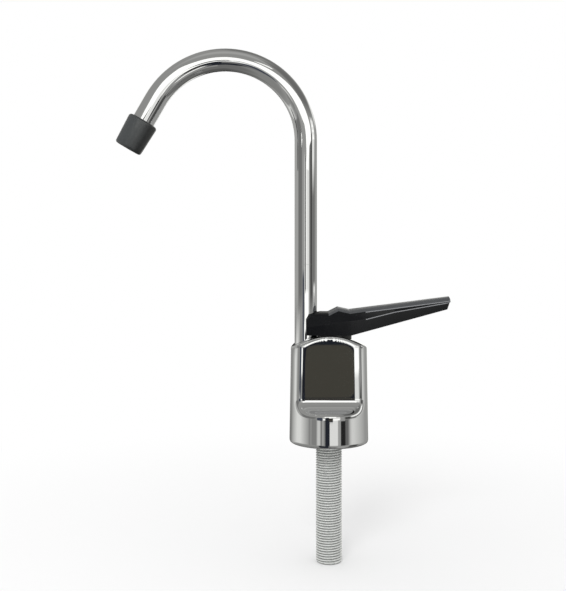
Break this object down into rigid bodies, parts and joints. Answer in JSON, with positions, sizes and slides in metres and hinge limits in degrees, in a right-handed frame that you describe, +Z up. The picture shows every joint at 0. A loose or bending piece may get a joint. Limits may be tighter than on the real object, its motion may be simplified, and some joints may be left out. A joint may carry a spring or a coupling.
{
  "type": "drinking water tap",
  "caption": "Deck-mounted drinking water tap with a swivelling gooseneck spout, scooped chrome body, black rocking lever and a threaded shank.",
  "frame": {"origin": "centre of the body's underside, on the deck's surface", "axes": "+Z up along the body, spout towards -X and lever towards +X"},
  "size_m": [0.1412, 0.0334, 0.2175],
  "materials": {
    "body_chrome": "mirror polished plating",
    "spout_chrome": "mirror polished plating on drawn tube",
    "core_plastic": "moulded acetal",
    "plate_steel": "pressed, satin",
    "screw_steel": "bright",
    "shank_plating": "bright plated thread",
    "seal_rubber": "black, matte",
    "valve_brass": "turned",
    "bonnet_black": "moulded, satin",
    "tip_black": "moulded, matte",
    "lever_black": "moulded, satin gloss",
    "spring_steel": "stainless"
  },
  "bodies": {
    "base": {"body_shell": "body_chrome", "valve_core": "core_plastic", "passage_plug": "valve_brass", "base_plate": "plate_steel", "base_screws": "screw_steel", "shank": "shank_plating", "shank_seal": "seal_rubber", "valve_seat": "valve_brass", "bonnet": "bonnet_black", "bonnet_seal": "seal_rubber", "stem_seal": "seal_rubber", "spout_bearing": "core_plastic"},
    "spout": {"spout_tube": "spout_chrome", "spout_tip": "tip_black", "spout_spigot": "valve_brass", "spout_seal_upper": "seal_rubber", "spout_seal_lower": "seal_rubber", "spout_clip": "spring_steel"},
    "stem": {"valve_stem": "valve_brass", "return_spring": "spring_steel", "spring_washer": "spring_steel", "valve_disc": "seal_rubber", "disc_cup": "valve_brass", "disc_screw": "screw_steel", "lever_pin": "spring_steel"},
    "lever": {"lever": "lever_black"}
  },
  "joints": [
    {"name": "spout_swivel", "type": "hinge", "parent": "base", "child": "spout", "pos_m": [-0.0098, 0, 0.036], "axis": [0, 0, 1], "continuous": true},
    {"name": "stem_rise", "type": "slide", "parent": "base", "child": "stem", "axis": [0, 0, 1], "range_m": [0, 0.00134], "stiffness_N_per_m": 600, "springref_m": -0.01, "deforming": ["return_spring"]},
    {"name": "lever_press", "type": "hinge", "parent": "stem", "child": "lever", "pos_m": [0.0036, 0, 0.05], "axis": [0, 1, 0], "range_deg": [0, 14]}
  ],
  "couplings": [
    {"joint": "lever_press", "follows": "stem_rise", "rad_per_m": 181.82}
  ]
}
